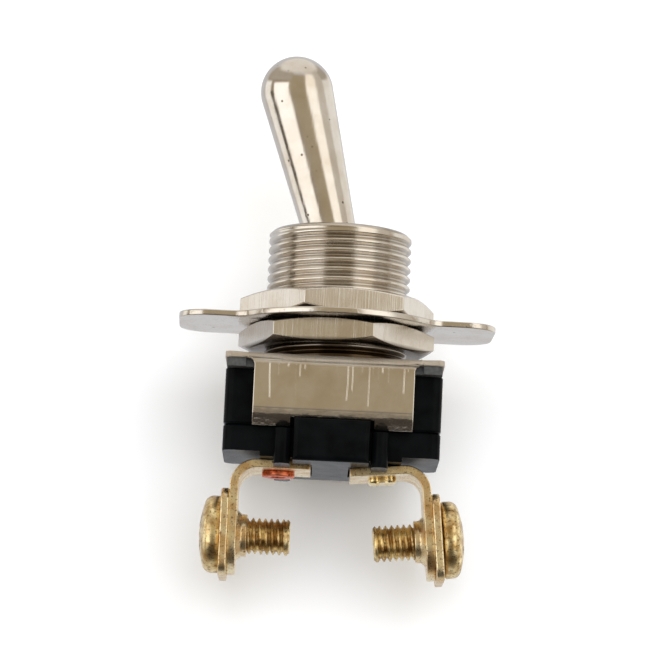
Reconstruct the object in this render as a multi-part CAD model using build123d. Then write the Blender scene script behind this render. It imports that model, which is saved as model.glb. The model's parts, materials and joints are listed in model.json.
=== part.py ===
from build123d import *
import math
import os

# Panel toggle switch, in millimetres.
# The origin is on the bushing's axis, in the bracket's top face.
# +Z runs along the bushing to the lever, X is the lever's swing, -Y is the photograph's front.

# Fits between pieces
SLIP = 0.02
LOOSE = 0.1

# Bushing with a 15/32-32 thread, drawn at the thread's outside radius
BUSHING_R = 5.953
THREAD_PITCH = 0.794
PITCH_LINE_DEPTH = 0.325
BUSHING_H = 11.2
BUSHING_CHAMFER = 0.35
BUSHING_MOUTH_R = 4.1
BUSHING_THROAT_R = 3.05
BUSHING_BORE_R = 4.5
BORE_STEP_DROP = 1.8
BORE_STEP_H = 1.0
SPIGOT_R = 5.3
STAKE_R = 5.75
STAKE_H = 0.4

# Hex nuts, 9/16 inch across flats
NUT_FLATS = 14.29
NUT_H = 2.0
NUT_CHAMFER = 0.35
NUT_CHAMFER_ANGLE = 22.0
LOWER_NUT_Z = 1.1
LOWER_NUT_TURN = -8.8
UPPER_NUT_TURN = 10.8

# Indicator plate
PLATE_T = 0.5
PLATE_R = 9.1
PLATE_L = 26.2
PLATE_TAB_W = 9.4
PLATE_TAB_CORNER = 2.5
PLATE_BLEND = 2.0
PLATE_TURN = 1.5

# Bracket, folded from sheet
SHEET_T = 0.5
BRACKET_END_OVERHANG = 0.05
BRACKET_SIDE_OVERHANG = 0.2
BRACKET_CORNER = 0.5
FLANGE_W = 13.08
FLANGE_DEPTH = 5.95
FLANGE_BEND = 0.8
NOTCH_W = 6.75
NOTCH_Z = -5.2
CRIMP_Z = -4.95
CRIMP_ANGLE = 42.0
CRIMP_BEND = 1.6
FLARE_R = 0.6

# Insulator and case
INSULATOR_T = 0.7
INSULATOR_INSET = 0.15
CASE_L = 17.8
CASE_D = 12.8
CASE_END_INSET = 1.2
CASE_STEP_FIT = 0.04
CASE_H = 4.55
CASE_CORNER = 0.9
CASE_STEP_CORNER = 0.4
SEAM_CHAMFER = 0.15
CAVITY_L = 11.6
CAVITY_D = 6.8
CAVITY_CORNER = 0.8

# Base
BASE_H = 2.15
BASE_INSET = 0.3
LIP_H = 1.45
FLOOR_T = 0.9
SEAT_H = 0.4
SEAT_WALL = 0.5
BLOCK_W = 6.2
BLOCK_PROUD = 0.8
BLOCK_TOP_Z = -5.25
BLOCK_H = 3.48
BLOCK_EDGE = 0.5
BLOCK_INNER_D = 7.6
RIB_W = 1.35
RIB_X = 3.98
RIB_PROUD = 0.2
RIB_BOTTOM_Z = -9.0
RIB_TOP_GAP = 0.15
BARRIER_GAP = 0.1
BARRIER_H = 0.43

# Terminals, each turned outward about the edge of its seat
STRIP_T = 0.7
STRIP_W = 5.8
STRIP_INNER_X = 1.6
STRIP_BEND = 2.2
LEG_X = 8.15
LEG_DROP = 9.4
LEG_END_FLAT = 0.2
COLLAR_R = 1.75
COLLAR_H = 0.85
COLLAR_FLARE = 0.4
LEAN_LEFT = 0.0
LEAN_RIGHT = 6.0

# Clamp plates and screws
CLAMP_T = 0.65
CLAMP_W = 7.4
CLAMP_H = 7.2
CLAMP_CORNER = 1.2
SCREW_R = 1.5
SCREW_L = 5.75
SCREW_DROP = 6.1
SCREW_TIP = 0.2
HEAD_R = 3.2
HEAD_RIM = 1.15
HEAD_DOME = 0.6
CROSS_L = 3.4
CROSS_W = 0.75
CROSS_DEPTH = 0.9
CROSS_TURN = 45.0
RIGHT_SCREW_GAP = 0.15

# Rivets
RIVET_X = 4.25
RIVET_R = 0.95
RIVET_HEAD_R = 1.35
RIVET_HEAD_H = 0.45
RIVET_HOLLOW_R = 0.6
RIVET_INNER_R = 1.3
PETALS = 4
PETAL_R = 0.55
PETAL_OUT = 0.85
PETAL_H = 0.5
PETAL_EDGE = 0.3

# Lever
LEVER_TILT = 15.6
PIVOT_Z = 8.0
LEVER_REACH = 15.75
TIP_R = 3.05
NECK_R = 2.22
BALL_R = 3.6
BALL_GAP = 0.12
STEM_R = 1.75
STEM_REACH = 9.0
STEM_BORE_R = 1.15
STEM_BORE_TOP = 1.6
PIN_R = 0.8
PIN_L = 9.0
PIN_FIT = 0.03

# Plunger and spring
PLUNGER_FIT = 0.04
PLUNGER_L = 6.5
PLUNGER_REACH = 12.0
SPRING_WIRE_R = 0.2
SPRING_TURNS = 4
SPRING_GAP = 0.15

# Rocker and its cradle
ROCKER_TILT = 6.0
ROCKER_Z = -4.9
ROCKER_T = 0.6
ROCKER_W = 3.8
ROCKER_GAP = 0.1
DISH_X = 3.7
FOOT_X = 5.2
FOOT_Z = -0.5
TRUNNION_R = 0.45
TRUNNION_L = 5.2
TRUNNION_FIT = 0.05
BUTTON_R = 1.1
BUTTON_H = 0.5
BUTTON_DOME_R = 2.5
CONTACT_GAP = 0.05
CRADLE_T = 0.5
CRADLE_W = 3.4
CRADLE_END_X = 5.6
EAR_T = 0.6
EAR_W = 1.9
EAR_TOP = 0.4

# Sizes and levels that follow from the ones above
BRACKET_L = CASE_L + 2 * BRACKET_END_OVERHANG
BRACKET_END_D = CASE_D + 2 * BRACKET_SIDE_OVERHANG
CASE_END_D = CASE_D - 2 * CASE_END_INSET
CASE_STEP_L = FLANGE_W - 2 * CASE_STEP_FIT
BASE_D = CASE_END_D - 2 * BASE_INSET
BLOCK_D = CASE_D + 2 * BLOCK_PROUD
RIB_D = CASE_D + 2 * RIB_PROUD
BARRIER_W = 2 * (STRIP_INNER_X - BARRIER_GAP)
SEAT_L = 2 * (RIVET_X + RIVET_R + LOOSE + SEAT_WALL)
Z_CASE_TOP = -SHEET_T - INSULATOR_T
Z_SEAM = Z_CASE_TOP - CASE_H
Z_LIP_TOP = Z_SEAM + LIP_H
Z_BASE_BOTTOM = Z_SEAM - BASE_H
Z_SEAT = Z_BASE_BOTTOM - SEAT_H
Z_FLOOR = Z_BASE_BOTTOM + FLOOR_T
Z_PLATE = LOWER_NUT_Z + NUT_H
Z_UPPER_NUT = Z_PLATE + PLATE_T
Z_UPPER_NUT_TOP = Z_UPPER_NUT + NUT_H
PITCH_R = BUSHING_R - PITCH_LINE_DEPTH * THREAD_PITCH
PLUNGER_R = STEM_BORE_R - PLUNGER_FIT

LEFT = -1
RIGHT = 1
UP = (Align.CENTER, Align.CENTER, Align.MIN)
DOWN = (Align.CENTER, Align.CENTER, Align.MAX)


def block(length, depth, z_low, z_high):
    """A box centred on the bushing's axis."""
    return Pos(0, 0, z_low) * Box(length, depth, z_high - z_low, align=UP)


def disc(radius, z_low, z_high):
    """A round bar on the Z axis."""
    return Pos(0, 0, z_low) * Cylinder(radius, z_high - z_low, align=UP)


def revolved(points):
    """A solid of revolution about Z from (radius, height) points."""
    outline = make_face(Polyline(*points, close=True))
    return revolve(Plane.XZ * outline, Axis.Z)


def both_ways(solid, plane):
    return solid + mirror(solid, plane)


def make_bushing():
    seat = PIVOT_Z + math.sqrt((BALL_R + BALL_GAP) ** 2 - BUSHING_THROAT_R ** 2)
    bottom = -SHEET_T - STAKE_H
    ball_bore = BALL_R + BALL_GAP
    step_top = PIVOT_Z - BORE_STEP_DROP
    body = revolved([
        (0, bottom),
        (STAKE_R, bottom),
        (STAKE_R, -SHEET_T - SLIP),
        (SPIGOT_R, -SHEET_T - SLIP),
        (SPIGOT_R, 0),
        (BUSHING_R, 0),
        (BUSHING_R, LOWER_NUT_Z),
        (PITCH_R, LOWER_NUT_Z),
        (PITCH_R, Z_PLATE),
        (BUSHING_R, Z_PLATE),
        (BUSHING_R, Z_UPPER_NUT),
        (PITCH_R, Z_UPPER_NUT),
        (PITCH_R, Z_UPPER_NUT_TOP),
        (BUSHING_R, Z_UPPER_NUT_TOP),
        (BUSHING_R, BUSHING_H - BUSHING_CHAMFER),
        (BUSHING_R - BUSHING_CHAMFER, BUSHING_H),
        (0, BUSHING_H),
    ])
    hollow = revolved([
        (0, bottom),
        (BUSHING_BORE_R, bottom),
        (BUSHING_BORE_R, step_top - BORE_STEP_H),
        (ball_bore, step_top),
        (ball_bore, PIVOT_Z),
        (0, PIVOT_Z),
    ])
    hollow += Pos(0, 0, PIVOT_Z) * Sphere(ball_bore)
    hollow += revolved([
        (0, PIVOT_Z),
        (BUSHING_THROAT_R, PIVOT_Z),
        (BUSHING_THROAT_R, seat),
        (BUSHING_MOUTH_R, BUSHING_H),
        (0, BUSHING_H),
    ])
    slot_d = PIN_L + 2 * LOOSE
    slot_w = 2 * (PIN_R + PIN_FIT)
    slot = block(slot_w, slot_d, bottom, PIVOT_Z)
    slot += Pos(0, 0, PIVOT_Z) * Rot(90, 0, 0) * Cylinder(slot_w / 2, slot_d)
    return body - hollow - slot


def make_nut(z_low, turn):
    corner_r = NUT_FLATS / math.sqrt(3)
    outline = Rot(0, 0, turn) * RegularPolygon(corner_r, 6)
    body = Pos(0, 0, z_low) * extrude(outline, NUT_H)
    rise = (corner_r - NUT_FLATS / 2) * math.tan(math.radians(NUT_CHAMFER_ANGLE))
    turned = revolved([
        (0, z_low),
        (NUT_FLATS / 2 - NUT_CHAMFER / 2, z_low),
        (corner_r, z_low + rise),
        (corner_r, z_low + NUT_H - rise),
        (NUT_FLATS / 2 - NUT_CHAMFER / 2, z_low + NUT_H),
        (0, z_low + NUT_H),
    ])
    return (body & turned) - disc(PITCH_R + SLIP, z_low, z_low + NUT_H)


def make_indicator_plate():
    outline = Circle(PLATE_R) + Rectangle(PLATE_L, PLATE_TAB_W)
    tips = outline.vertices().group_by(Axis.X)
    outline = fillet(tips[0] + tips[-1], PLATE_TAB_CORNER)
    inner = [v for v in outline.vertices() if abs(v.X) < PLATE_R]
    outline = fillet(inner, PLATE_BLEND)
    outline -= Circle(BUSHING_R + LOOSE)
    return Pos(0, 0, Z_PLATE) * Rot(0, 0, PLATE_TURN) * extrude(outline, PLATE_T)


def crimp_inside_z():
    """Height at which the inside of the crimped tabs leaves the flange."""
    return CRIMP_Z + SHEET_T * math.tan(math.radians(CRIMP_ANGLE) / 2)


def make_bracket():
    face_y = CASE_D / 2 + SHEET_T
    lean = math.radians(CRIMP_ANGLE)
    tab_l = (FLANGE_DEPTH + CRIMP_Z) / math.cos(lean)
    tip = (face_y - tab_l * math.sin(lean), -FLANGE_DEPTH)
    inner_tip = (tip[0] - SHEET_T * math.cos(lean), tip[1] + SHEET_T * math.sin(lean))
    profile = make_face(Polyline(
        (0, 0),
        (face_y, 0),
        (face_y, CRIMP_Z),
        tip,
        inner_tip,
        (face_y - SHEET_T, crimp_inside_z()),
        (face_y - SHEET_T, -SHEET_T),
        (0, -SHEET_T),
        close=True,
    ))
    outer_bend = profile.vertices().sort_by_distance((face_y, 0))[0]
    profile = fillet(outer_bend, FLANGE_BEND)
    inner_bend = profile.vertices().sort_by_distance((face_y - SHEET_T, -SHEET_T))[0]
    profile = fillet(inner_bend, FLANGE_BEND - SHEET_T)
    outer_roll = profile.vertices().sort_by_distance((face_y, CRIMP_Z))[0]
    profile = fillet(outer_roll, CRIMP_BEND)
    inner_roll = profile.vertices().sort_by_distance((face_y - SHEET_T, crimp_inside_z()))[0]
    profile = fillet(inner_roll, CRIMP_BEND - SHEET_T)
    side = extrude(Plane.YZ * profile, FLANGE_W / 2, both=True)
    side -= block(NOTCH_W, 2 * face_y, -FLANGE_DEPTH, NOTCH_Z)
    flare_w = FLANGE_W + 2 * FLARE_R
    flare_z = -SHEET_T - FLARE_R
    flare = extrude(Plane.YZ * profile, flare_w / 2, both=True)
    flare &= block(flare_w, 2 * face_y, flare_z, 0)
    for x in (LEFT, RIGHT):
        flare -= Pos(x * flare_w / 2, 0, flare_z) * Rot(90, 0, 0) * Cylinder(FLARE_R, 2 * face_y)
    top = extrude(RectangleRounded(BRACKET_L, BRACKET_END_D, BRACKET_CORNER), -SHEET_T)
    return top + both_ways(side + flare, Plane.XZ) - disc(SPIGOT_R + SLIP, -SHEET_T, 0)


def make_insulator():
    ends = RectangleRounded(
        BRACKET_L - 2 * INSULATOR_INSET, BRACKET_END_D - 2 * INSULATOR_INSET, BRACKET_CORNER
    )
    fold_y = CASE_D / 2 + SHEET_T - FLANGE_BEND - SLIP
    fold = Rectangle(FLANGE_W + 2 * FLARE_R + 2 * LOOSE, BRACKET_END_D)
    fold -= Rectangle(FLANGE_W + 2 * FLARE_R + 2 * LOOSE, 2 * fold_y)
    sheet = extrude(ends - fold - Circle(STAKE_R + LOOSE), INSULATOR_T)
    return Pos(0, 0, Z_CASE_TOP) * sheet


def case_outline():
    ends = RectangleRounded(CASE_L, CASE_END_D, CASE_CORNER)
    return ends + RectangleRounded(CASE_STEP_L, CASE_D, CASE_STEP_CORNER)


def cavity(z_low, z_high):
    outline = RectangleRounded(CAVITY_L, CAVITY_D, CAVITY_CORNER)
    return Pos(0, 0, z_low) * extrude(outline, z_high - z_low)


def make_upper_case():
    body = Pos(0, 0, Z_SEAM) * extrude(case_outline(), CASE_H)
    low_ends = [e for e in body.edges().group_by(Axis.Z)[0] if abs(e.center().X) > CASE_STEP_L / 2]
    body = chamfer(low_ends, SEAM_CHAMFER)
    body -= block(CASE_STEP_L + 2 * SLIP, CASE_D, Z_SEAM, Z_LIP_TOP)
    return body - cavity(Z_LIP_TOP, Z_CASE_TOP)


def make_base():
    ends = RectangleRounded(CASE_L, BASE_D, CASE_CORNER)
    body = Pos(0, 0, Z_BASE_BOTTOM) * extrude(ends, BASE_H)
    body = chamfer(body.edges().group_by(Axis.Z)[-1], SEAM_CHAMFER)
    lip_y = CASE_D / 2
    crimp_run = (crimp_inside_z() - Z_SEAM) * math.tan(math.radians(CRIMP_ANGLE))
    lip = make_face(Polyline(
        (-lip_y, Z_LIP_TOP),
        (lip_y, Z_LIP_TOP),
        (lip_y, crimp_inside_z() + SLIP),
        (lip_y - crimp_run - SLIP, Z_SEAM),
        (crimp_run + SLIP - lip_y, Z_SEAM),
        (-lip_y, crimp_inside_z() + SLIP),
        close=True,
    ))
    rolls = [v for v in lip.vertices() if abs(v.Y - crimp_inside_z() - SLIP) < SLIP]
    lip = fillet(rolls, CRIMP_BEND - SHEET_T)
    body += extrude(Plane.YZ * lip, CASE_STEP_L / 2, both=True)
    body += block(SEAT_L, BASE_D, Z_SEAT, Z_BASE_BOTTOM)
    stop = block(BLOCK_W, BLOCK_D, BLOCK_TOP_Z - BLOCK_H, BLOCK_TOP_Z)
    front_edges = [e for e in stop.edges() if abs(e.center().Y) > BLOCK_D / 2 - SLIP]
    stop = fillet(front_edges, BLOCK_EDGE)
    stop -= block(BLOCK_W, BLOCK_INNER_D, BLOCK_TOP_Z - BLOCK_H, Z_SEAT)
    body += stop
    rib_top = -FLANGE_DEPTH - RIB_TOP_GAP
    rib_plan = SlotOverall(RIB_D, RIB_W, rotation=90)
    rib = Pos(0, 0, RIB_BOTTOM_Z) * extrude(rib_plan, rib_top - RIB_BOTTOM_Z)
    rib -= block(RIB_W, BLOCK_INNER_D, RIB_BOTTOM_Z, Z_SEAT)
    for x in (LEFT, RIGHT):
        body += Pos(x * RIB_X, 0, 0) * rib
    body += block(BARRIER_W, BLOCK_D - 2 * BLOCK_EDGE, Z_SEAT - BARRIER_H, Z_SEAT)
    body -= cavity(Z_FLOOR, Z_LIP_TOP)
    for x in (LEFT, RIGHT):
        body -= Pos(x * RIVET_X, 0, 0) * disc(RIVET_R + LOOSE, Z_SEAT, Z_FLOOR)
    return body


def make_lever():
    body = revolved([
        (0, -STEM_REACH),
        (STEM_R, -STEM_REACH),
        (STEM_R, 0),
        (NECK_R, 0),
        (NECK_R, BALL_R),
        (TIP_R, LEVER_REACH),
        (0, LEVER_REACH),
    ])
    body += Pos(0, 0, LEVER_REACH) * Sphere(TIP_R)
    body += Sphere(BALL_R)
    body -= Pos(0, 0, -STEM_REACH) * Cylinder(STEM_BORE_R, STEM_REACH - STEM_BORE_TOP, align=UP)
    body -= Rot(90, 0, 0) * Cylinder(PIN_R + SLIP, 2 * BALL_R)
    return in_lever(body)


def in_lever(solid):
    """Place a solid modelled about the lever's pivot, standing upright, into the rest pose."""
    return Pos(0, 0, PIVOT_Z) * Rot(0, -LEVER_TILT, 0) * solid


def make_pivot_pin():
    return in_lever(Rot(90, 0, 0) * Cylinder(PIN_R, PIN_L))


def make_plunger():
    nose_z = PLUNGER_R - PLUNGER_REACH
    top_z = PLUNGER_L - PLUNGER_REACH
    body = Pos(0, 0, nose_z) * Cylinder(PLUNGER_R, top_z - nose_z, align=UP)
    body += Pos(0, 0, nose_z) * Sphere(PLUNGER_R)
    return in_lever(body)


def make_plunger_spring():
    low = PLUNGER_L - PLUNGER_REACH + SPRING_WIRE_R + SLIP
    high = -STEM_BORE_TOP - SPRING_WIRE_R - SLIP
    coil_r = STEM_BORE_R - SPRING_GAP - SPRING_WIRE_R
    path = Helix((high - low) / SPRING_TURNS, high - low, coil_r)
    start = Plane(path @ 0, z_dir=path % 0)
    wire = sweep(start * Circle(SPRING_WIRE_R), path)
    return in_lever(Pos(0, 0, low) * wire)


def in_rocker(solid):
    """Place a solid modelled about the rocker's pivot, level, into the rest pose."""
    return Pos(0, 0, ROCKER_Z) * Rot(0, ROCKER_TILT, 0) * solid


def dish_circle():
    """Radius and height of the circle that the plunger's nose centre draws on the rocker."""
    nose_reach = PLUNGER_REACH - PLUNGER_R
    lever = math.radians(LEVER_TILT)
    rocker = math.radians(ROCKER_TILT)
    x = nose_reach * math.sin(lever)
    z = PIVOT_Z - ROCKER_Z - nose_reach * math.cos(lever)
    end_x = x * math.cos(rocker) - z * math.sin(rocker)
    end_z = x * math.sin(rocker) + z * math.cos(rocker)
    middle_z = PIVOT_Z - ROCKER_Z - nose_reach
    rise = end_z - middle_z
    radius = (end_x ** 2 + rise ** 2) / (2 * rise)
    return radius, middle_z + radius


def make_rocker():
    radius, centre_z = dish_circle()
    top_r = radius + PLUNGER_R + ROCKER_GAP
    dish = Circle(top_r + ROCKER_T) - Circle(top_r)
    window = Pos(0, -top_r) * Rectangle(2 * DISH_X, 2 * top_r)
    dish_face = Plane.XZ * Pos(0, centre_z) * (dish & window)
    body = extrude(dish_face, ROCKER_W / 2, both=True)
    leg_x = DISH_X - ROCKER_T
    leg_top = centre_z - math.sqrt((top_r + ROCKER_T / 2) ** 2 - leg_x ** 2)
    leg = Pos(DISH_X - ROCKER_T / 2, 0, FOOT_Z) * Box(ROCKER_T, ROCKER_W, leg_top - FOOT_Z, align=UP)
    foot = Pos((leg_x + FOOT_X) / 2, 0, FOOT_Z) * Box(FOOT_X - leg_x, ROCKER_W, ROCKER_T, align=UP)
    body += both_ways(leg + foot, Plane.YZ)
    body += Rot(90, 0, 0) * Cylinder(TRUNNION_R, TRUNNION_L)
    return in_rocker(body)


def make_moving_contact():
    button = Cylinder(BUTTON_R, BUTTON_H, align=DOWN)
    button &= Pos(0, 0, BUTTON_DOME_R - BUTTON_H) * Sphere(BUTTON_DOME_R)
    return in_rocker(Pos(RIVET_X, 0, FOOT_Z) * button)


def contact_z():
    """Top of the fixed contact, just under the closed button."""
    tilt = math.radians(ROCKER_TILT)
    dome_z = FOOT_Z - BUTTON_H + BUTTON_DOME_R
    return ROCKER_Z - RIVET_X * math.sin(tilt) + dome_z * math.cos(tilt) - BUTTON_DOME_R - CONTACT_GAP


def open_stop_z():
    """Top of the left rivet, just under the outer edge of the rocker's left foot when it is down."""
    tilt = math.radians(ROCKER_TILT)
    return ROCKER_Z - FOOT_X * math.sin(tilt) + FOOT_Z * math.cos(tilt) - CONTACT_GAP


def make_cradle():
    top = Z_FLOOR + CRADLE_T
    length = CRADLE_END_X + EAR_W / 2
    plate = Pos((EAR_W / 2 - CRADLE_END_X) / 2, 0, Z_FLOOR) * Box(length, CRADLE_W, CRADLE_T, align=UP)
    ear_y = ROCKER_W / 2 + LOOSE + EAR_T / 2
    foot = block(EAR_W, 2 * ear_y + EAR_T, Z_FLOOR, top)
    ear = Pos(0, ear_y, Z_FLOOR) * Box(EAR_W, EAR_T, ROCKER_Z + EAR_TOP - Z_FLOOR, align=UP)
    seat_r = TRUNNION_R + TRUNNION_FIT
    notch = Pos(0, 0, ROCKER_Z) * Rot(90, 0, 0) * Cylinder(seat_r, CAVITY_D)
    notch += block(2 * seat_r, CAVITY_D, ROCKER_Z, ROCKER_Z + EAR_TOP)
    body = plate + foot + both_ways(ear, Plane.XZ) - notch
    return body - Pos(LEFT * RIVET_X, 0, 0) * disc(RIVET_R + SLIP, Z_FLOOR, top)


def lean_of(side):
    return LEAN_RIGHT if side == RIGHT else LEAN_LEFT


def in_terminal(solid, side):
    """Place a right-hand terminal's solid, modelled square to the base, on its side with its lean."""
    leaned = Pos(SEAT_L / 2, 0, Z_SEAT) * Rot(0, -lean_of(side), 0) * Pos(-SEAT_L / 2, 0, -Z_SEAT) * solid
    return leaned if side == RIGHT else mirror(leaned, Plane.YZ)


def across_leg(x, z):
    """A frame on the leg with its own Z axis pointing outward."""
    return Pos(x, 0, z) * Rot(0, 90, 0)


def screw_z():
    return Z_SEAT - SCREW_DROP


def make_terminal(side):
    outline = Rectangle(LEG_X - STRIP_INNER_X, LEG_DROP, align=(Align.MAX, Align.MAX))
    corner = outline.vertices().sort_by_distance((0, 0))[0]
    outline = fillet(corner, STRIP_BEND)
    inside = Pos(-STRIP_T, -STRIP_T) * Rectangle(LEG_X, LEG_DROP, align=(Align.MAX, Align.MAX))
    corner = inside.vertices().sort_by_distance((-STRIP_T, -STRIP_T))[0]
    inside = fillet(corner, STRIP_BEND - STRIP_T)
    profile = Plane.XZ * Pos(LEG_X, Z_SEAT) * (outline - inside)
    body = extrude(profile, STRIP_W / 2, both=True)
    leg_end = Z_SEAT - LEG_DROP
    end_edges = [e for e in body.edges().filter_by(Axis.X) if e.center().Z < leg_end + SLIP]
    body = fillet(end_edges, (STRIP_W - LEG_END_FLAT) / 2)
    place = across_leg(LEG_X, screw_z())
    body += place * Cylinder(COLLAR_R, STRIP_T + COLLAR_H, align=DOWN)
    flare = Cone(COLLAR_R, COLLAR_R + COLLAR_FLARE, COLLAR_FLARE, align=DOWN)
    body += place * Pos(0, 0, -STRIP_T) * flare
    body -= place * Cylinder(SCREW_R + SLIP, STRIP_T + COLLAR_H, align=DOWN)
    body -= Pos(RIVET_X, 0, Z_SEAT) * Cylinder(RIVET_R + LOOSE, STRIP_T, align=DOWN)
    return in_terminal(body, side)


def make_clamp_plate(side):
    outline = RectangleRounded(CLAMP_H, CLAMP_W, CLAMP_CORNER) - Circle(SCREW_R + LOOSE)
    plate = across_leg(LEG_X, screw_z()) * extrude(outline, CLAMP_T)
    return in_terminal(plate, side)


def make_screw(side):
    dome_r = (HEAD_R ** 2 + HEAD_DOME ** 2) / (2 * HEAD_DOME)
    head = Cylinder(HEAD_R, HEAD_RIM + HEAD_DOME, align=UP)
    head &= Pos(0, 0, HEAD_RIM + HEAD_DOME - dome_r) * Sphere(dome_r)
    shank = chamfer(Cylinder(SCREW_R, SCREW_L, align=DOWN).edges().group_by(Axis.Z)[0], SCREW_TIP)
    for turn in (CROSS_TURN, CROSS_TURN + 90):
        cross = Rot(0, 0, turn) * Box(CROSS_L, CROSS_W, CROSS_DEPTH, align=DOWN)
        head -= Pos(0, 0, HEAD_RIM + HEAD_DOME) * cross
    gap = RIGHT_SCREW_GAP if side == RIGHT else 0
    return in_terminal(across_leg(LEG_X + CLAMP_T + gap, screw_z()) * (head + shank), side)


def rolled_head():
    """The left rivet's tubular end, rolled over to a ring."""
    return Cylinder(RIVET_HEAD_R, RIVET_HEAD_H, align=DOWN) - Cylinder(RIVET_HOLLOW_R, RIVET_HEAD_H, align=DOWN)


def petalled_head():
    """The right rivet's end, split by a star punch and rolled over in petals."""
    petal = Cylinder(PETAL_R, PETAL_H, align=DOWN)
    petal = fillet(petal.edges().group_by(Axis.Z)[0], PETAL_EDGE)
    head = Cylinder(RIVET_R + 2 * LOOSE, RIVET_HEAD_H, align=DOWN)
    for i in range(PETALS):
        head += Rot(0, 0, (i + 0.5) * 360 / PETALS) * Pos(PETAL_OUT, 0, 0) * petal
    return head - Cylinder(RIVET_HOLLOW_R, PETAL_H, align=DOWN)


def make_rivet(side):
    strip_under = Z_SEAT - STRIP_T
    head = Pos(RIVET_X, 0, strip_under) * (petalled_head() if side == RIGHT else rolled_head())
    lean_drop = (SEAT_L / 2 - RIVET_X + RIVET_R) * math.sin(math.radians(lean_of(side)))
    top_z = contact_z() if side == RIGHT else open_stop_z()
    seat_z = Z_FLOOR if side == RIGHT else Z_FLOOR + CRADLE_T
    shank = Pos(side * RIVET_X, 0, 0) * disc(RIVET_R, strip_under - lean_drop, top_z)
    inner = Pos(side * RIVET_X, 0, 0) * disc(RIVET_INNER_R, seat_z, top_z)
    return in_terminal(head, side) + shank + inner


def parts():
    pieces = {
        "bushing": make_bushing(),
        "lower_nut": make_nut(LOWER_NUT_Z, LOWER_NUT_TURN),
        "upper_nut": make_nut(Z_UPPER_NUT, UPPER_NUT_TURN),
        "indicator_plate": make_indicator_plate(),
        "bracket": make_bracket(),
        "insulator": make_insulator(),
        "upper_case": make_upper_case(),
        "base": make_base(),
        "lever": make_lever(),
        "pivot_pin": make_pivot_pin(),
        "plunger": make_plunger(),
        "plunger_spring": make_plunger_spring(),
        "cradle": make_cradle(),
        "rocker": make_rocker(),
        "moving_contact": make_moving_contact(),
    }
    for side, name in ((LEFT, "left"), (RIGHT, "right")):
        pieces["terminal_" + name] = make_terminal(side)
        pieces["clamp_plate_" + name] = make_clamp_plate(side)
        pieces["screw_" + name] = make_screw(side)
        pieces["rivet_" + name] = make_rivet(side)
    return pieces


os.makedirs("parts", exist_ok=True)
for node, solid in parts().items():
    export_step(solid, "parts/" + node + ".step")
    print(node, len(solid.solids()), round(solid.volume, 2))
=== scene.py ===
# %% [markdown]
# # Panel toggle switch
# A small on-off switch: a nickel bat lever in a threaded bushing, two hex nuts with an indicator
# plate between them, a folded bracket round a black moulded case, and two brass screw terminals.
# The solids come in as a fixed frame. Here they get threads, softened edges and real finishes.

# %% Load the frame
import json
import math
from functools import partial
import bmesh
import bpy
import numpy as np
from mathutils import Matrix, Vector

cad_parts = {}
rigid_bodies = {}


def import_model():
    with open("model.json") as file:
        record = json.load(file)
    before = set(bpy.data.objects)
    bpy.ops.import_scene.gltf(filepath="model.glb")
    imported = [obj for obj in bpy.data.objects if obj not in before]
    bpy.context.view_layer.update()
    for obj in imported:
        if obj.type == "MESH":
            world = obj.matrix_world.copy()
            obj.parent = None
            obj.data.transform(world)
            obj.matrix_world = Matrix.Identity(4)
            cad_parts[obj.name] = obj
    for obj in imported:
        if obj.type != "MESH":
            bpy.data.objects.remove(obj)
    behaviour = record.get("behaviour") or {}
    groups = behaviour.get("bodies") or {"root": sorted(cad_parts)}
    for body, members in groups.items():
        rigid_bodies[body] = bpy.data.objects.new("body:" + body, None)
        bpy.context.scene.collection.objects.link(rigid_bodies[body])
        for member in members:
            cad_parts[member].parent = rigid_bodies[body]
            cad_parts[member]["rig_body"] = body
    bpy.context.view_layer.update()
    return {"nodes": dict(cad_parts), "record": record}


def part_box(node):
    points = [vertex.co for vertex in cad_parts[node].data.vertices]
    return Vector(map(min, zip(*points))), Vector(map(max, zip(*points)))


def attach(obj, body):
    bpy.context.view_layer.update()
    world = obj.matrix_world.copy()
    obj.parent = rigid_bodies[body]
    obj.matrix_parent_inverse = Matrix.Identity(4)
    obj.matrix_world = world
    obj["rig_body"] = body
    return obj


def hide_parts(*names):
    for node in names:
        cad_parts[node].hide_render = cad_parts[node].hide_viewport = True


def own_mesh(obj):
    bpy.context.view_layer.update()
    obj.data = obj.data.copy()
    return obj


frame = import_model()
MM = 0.001
mounts = {m["name"]: m for m in frame["record"]["mounts"]}

# %% [markdown]
# ## Camera
# The photograph looks from a little below, through a long lens, and the switch is turned a few
# degrees clockwise in the picture. A roll of the camera about its own axis gives that turn, so the
# switch itself keeps its upright frame.

# %% Place the camera
AIM = Vector((-0.97, 0.0, 3.5)) * MM
CAMERA_DISTANCE = 300 * MM
CAMERA_ELEVATION = math.radians(-9.0)
CAMERA_ROLL = math.radians(2.7)
FOCAL_PX = 3600
PHOTO_PX = 650
SENSOR = 36.0

forward = Vector((0, math.cos(CAMERA_ELEVATION), -math.sin(CAMERA_ELEVATION)))
right = forward.cross(Vector((0, 0, 1))).normalized()
upward = right.cross(forward)
rolled_up = upward * math.cos(CAMERA_ROLL) - right * math.sin(CAMERA_ROLL)
rolled_right = forward.cross(rolled_up)
camera = bpy.data.objects.new("camera", bpy.data.cameras.new("camera"))
camera.data.sensor_width = SENSOR
camera.data.lens = FOCAL_PX / PHOTO_PX * SENSOR
camera.data.clip_start = 10 * MM
camera.data.clip_end = 20.0
turn = Matrix((rolled_right, rolled_up, -forward)).transposed().to_4x4()
camera.matrix_world = Matrix.Translation(AIM - forward * CAMERA_DISTANCE) @ turn
bpy.context.scene.collection.objects.link(camera)
bpy.context.scene.camera = camera
bpy.context.scene.view_settings.view_transform = "Standard"
print("camera at mm:", [round(v / MM, 1) for v in camera.location])

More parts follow.
